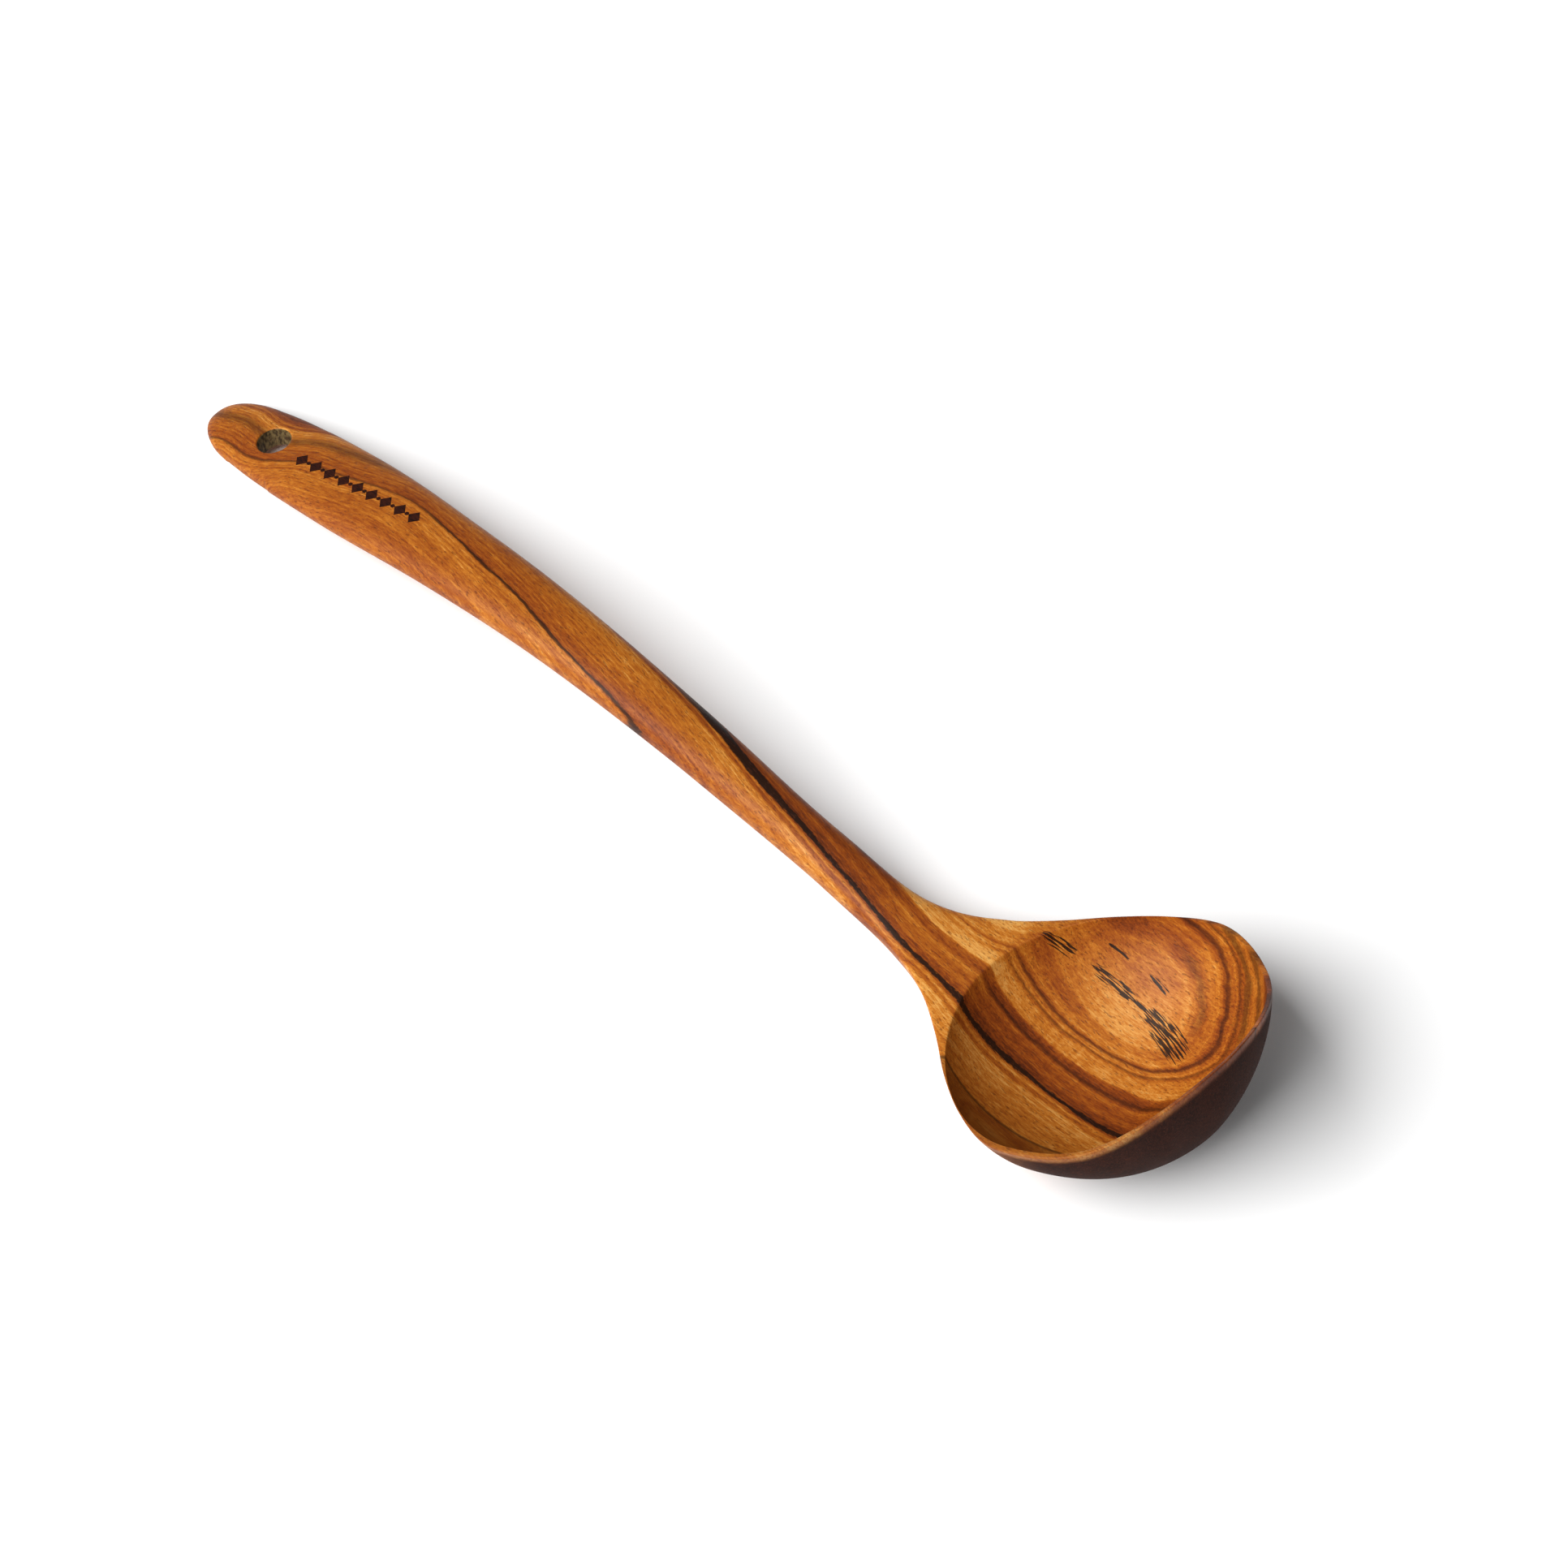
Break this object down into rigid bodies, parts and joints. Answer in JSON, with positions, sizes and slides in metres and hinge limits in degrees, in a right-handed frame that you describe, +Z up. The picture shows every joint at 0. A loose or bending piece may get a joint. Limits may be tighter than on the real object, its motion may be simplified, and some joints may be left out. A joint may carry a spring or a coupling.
{
  "type": "wooden ladle",
  "caption": "One-piece carved hardwood serving ladle with a deep round bowl, a slim arched handle and a hanging hole near its tip.",
  "frame": {"origin": "centre of the bounding box in plan, at the table the ladle rests on", "axes": "+X along the ladle from the handle's tip to the bowl's lip, +Y sideways, +Z up, as it lies at rest"},
  "size_m": [0.346, 0.085, 0.0587],
  "materials": {
    "wood": "oiled teak, satin, fine straight grain with dark streaks"
  },
  "bodies": {
    "root": {"bowl": "wood", "neck": "wood", "handle": "wood", "handle_end": "wood"}
  },
  "joints": []
}
